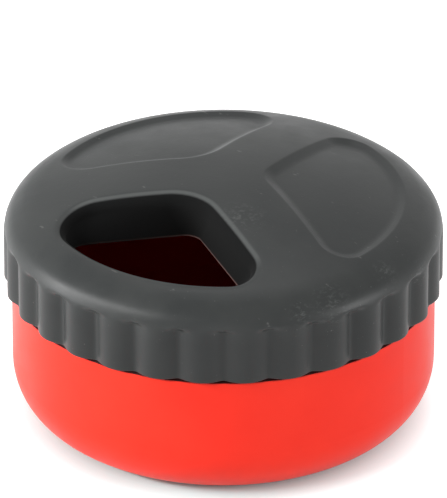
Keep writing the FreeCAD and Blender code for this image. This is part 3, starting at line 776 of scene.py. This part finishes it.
RING_SPECULAR = 0.5
RING_ROUGHNESS = (0.4, 0.5)
RING_SHEEN = Grain(150, 3)
RING_BUMPS = (Bump(Grain(1500, 3), 0.04, 0.4),)
RING_COLOURS = (0.026, 0.026, 0.028), (0.036, 0.036, 0.038)
RING_GRAIN = Grain(80, 4)


def ring_material():
    """Black moulded nylon."""
    material, tree, shader = new_material("ring_plastic", {"Specular IOR Level": RING_SPECULAR})
    black = add_ramp(tree, add_noise(tree, RING_GRAIN), NOISE_MIDDLE, RING_COLOURS)
    tree.links.new(black, shader.inputs["Base Color"])
    tree.links.new(add_sheen(tree, RING_SHEEN, RING_ROUGHNESS), shader.inputs["Roughness"])
    add_bumps(tree, shader, RING_BUMPS)
    return material


def paint(thing, material):
    """Give a piece one material in all its slots."""
    if not thing.material_slots:
        thing.data.materials.append(material)
    for place in thing.material_slots:
        place.material = material


# Floor, light and surroundings

FLOOR_SIZE = 3.0
# The middle of the floor and of its painted shadow, a little to the left of the puck and nearer to the camera
FLOOR_MIDDLE = (-0.0013, -0.002, 0)
FLOOR_ROUGHNESS = 0.9
# Its colours near that middle and farther away, and between which distances they change.
# Near the puck a greener tint is painted, so that it takes up less of the red light from the cup and its
# shadow looks grey
NEAR_COLOUR = (0.56, 0.84, 0.84)
FAR_COLOUR = (0.9, 0.9, 0.9)
COLOUR_SPAN = (45, 70)
# What the floor adds for the camera, so that it is white beyond the puck's shadow; adding less near the
# middle paints a shadow around the puck's foot
LIFT = (0.02, 0.75)
LIFT_SPAN = (39.5, 52.5)
AMBIENT = 0.36
LAMP_DISTANCE = 1.1
# Lamps: watts, metres and degrees, with the azimuth counted from the camera to the right
Softbox = namedtuple("Softbox", "name power width height azimuth elevation roll", defaults=(0,))
SOFTBOXES = (
    Softbox("strip", 12, 1.1, 0.12, -72, 28, 20),
    Softbox("back", 1.5, 0.5, 0.3, 180, 70),
    Softbox("front", 0.8, 0.3, 0.3, 0, 10),
    Softbox("left", 7, 0.5, 0.4, -85, 8),
    Softbox("right", 4.4, 0.4, 0.3, 70, 10),
)


def camera_share(tree):
    """1 for what the camera sees straight, in a mirror or through glass, otherwise 0."""
    path = tree.nodes.new("ShaderNodeLightPath")
    share = path.outputs["Is Camera Ray"]
    for name in ("Is Glossy Ray", "Is Transmission Ray"):
        share = add_maths(tree, "MAXIMUM", share, path.outputs[name])
    return share


def make_floor():
    """A plain pale floor that keeps the shadow, with a painted shadow and a painted tint around the puck's
    foot.
    """
    bpy.ops.mesh.primitive_plane_add(size=FLOOR_SIZE, location=FLOOR_MIDDLE)
    floor = bpy.context.object
    floor.name = "floor"
    material, tree, shader = new_material("floor", {
        "Roughness": FLOOR_ROUGHNESS,
        "Specular IOR Level": 0.0,
        "Emission Color": (1, 1, 1, 1),
    })
    _, _, _, reach = add_place(tree)
    # A painted greener tint near the puck
    colour = add_mix(tree, add_range(tree, reach, COLOUR_SPAN), NEAR_COLOUR, FAR_COLOUR)
    tree.links.new(colour, shader.inputs["Base Color"])
    # Less lift near the puck paints a shadow around its foot
    lift = add_product(tree, camera_share(tree), add_range(tree, reach, LIFT_SPAN, LIFT))
    tree.links.new(lift, shader.inputs["Emission Strength"])
    paint(floor, material)


def make_world():
    """White for the camera, and soft even light for the rest."""
    world = bpy.data.worlds.new("studio")
    bpy.context.scene.world = world
    world.use_nodes = True
    tree = world.node_tree
    background = tree.nodes["Background"]
    background.inputs["Color"].default_value = (1, 1, 1, 1)
    strength = add_range(tree, camera_share(tree), (0, 1), (AMBIENT, 1))
    tree.links.new(strength, background.inputs["Strength"])


def add_softbox(softbox):
    """A soft light aimed at the puck."""
    lamp = bpy.data.lights.new(softbox.name, "AREA")
    lamp.energy = softbox.power
    lamp.shape = "RECTANGLE"
    lamp.size = softbox.width
    lamp.size_y = softbox.height
    light = bpy.data.objects.new(softbox.name, lamp)
    bpy.context.scene.collection.objects.link(light)
    away = direction(CAMERA_AZIMUTH + math.radians(softbox.azimuth), math.radians(softbox.elevation))
    light.location = TARGET + away * LAMP_DISTANCE
    facing = away.to_track_quat("Z", "Y").to_matrix()
    light.rotation_euler = (facing @ Matrix.Rotation(math.radians(softbox.roll), 3, "Z")).to_euler()


make_camera()
cap = make_cap()
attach(cap, "cap")
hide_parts("rubber_cap")
paint(cap, rubber_material())
paint(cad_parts["treat_cup"], cup_material())
paint(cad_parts["lock_ring"], ring_material())
make_floor()
make_world()
for softbox in SOFTBOXES:
    add_softbox(softbox)
bpy.context.scene.view_settings.view_transform = "Standard"
